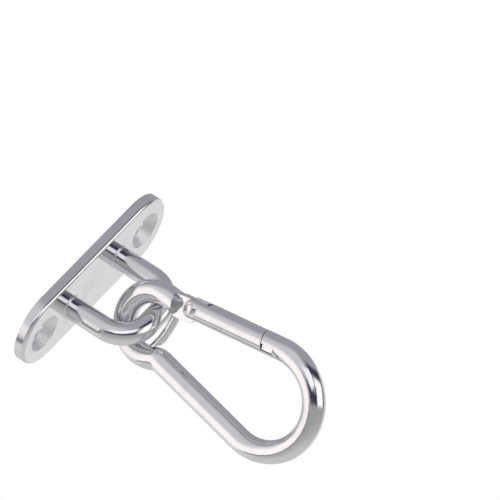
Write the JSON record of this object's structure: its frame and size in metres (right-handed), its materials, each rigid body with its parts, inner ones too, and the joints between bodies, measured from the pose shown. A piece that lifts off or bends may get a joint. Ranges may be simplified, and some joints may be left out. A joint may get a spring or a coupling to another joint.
{
  "type": "eye plate with snap hook",
  "caption": "Stadium-shaped steel screw plate with a welded staple and a captive spring snap hook, for hanging a hammock, swing or strap from a beam or wall.",
  "frame": {"origin": "centre of the plate's back face, which lies on the beam or wall", "axes": "+Z out of the plate's back, so the hook hangs along -Z from a ceiling; +X along the plate's length, through both screw holes"},
  "size_m": [0.077, 0.0359, 0.1003],
  "materials": {
    "polished_steel": "mirror-polished stainless steel",
    "spring_steel": "drawn stainless spring wire"
  },
  "bodies": {
    "plate": {"eye_plate": "polished_steel", "staple": "polished_steel"},
    "hook": {"hook_body": "polished_steel"},
    "gate": {"gate": "polished_steel", "hinge_pin": "polished_steel", "gate_spring": "spring_steel"},
    "plunger": {"plunger": "polished_steel"}
  },
  "joints": [
    {"name": "hook_swing", "type": "hinge", "parent": "plate", "child": "hook", "pos_m": [-0.0016, 0, -0.03005], "axis": [0.7861, 0.6142, -0.0698], "range_deg": [-45, 22]},
    {"name": "gate_hinge", "type": "hinge", "parent": "hook", "child": "gate", "pos_m": [0.00588, -0.01085, -0.04126], "axis": [0.7861, 0.6142, -0.0698], "range_deg": [0, 26], "stiffness_Nm_per_rad": 0.05, "springref_deg": -20.05},
    {"name": "plunger_slide", "type": "slide", "parent": "gate", "child": "plunger", "axis": [0.0388, -0.1616, -0.9861], "range_m": [0, 0.00082], "deforming": ["gate_spring"]}
  ],
  "couplings": [
    {"joint": "plunger_slide", "follows": "gate_hinge", "m_per_rad": 0.0018}
  ]
}
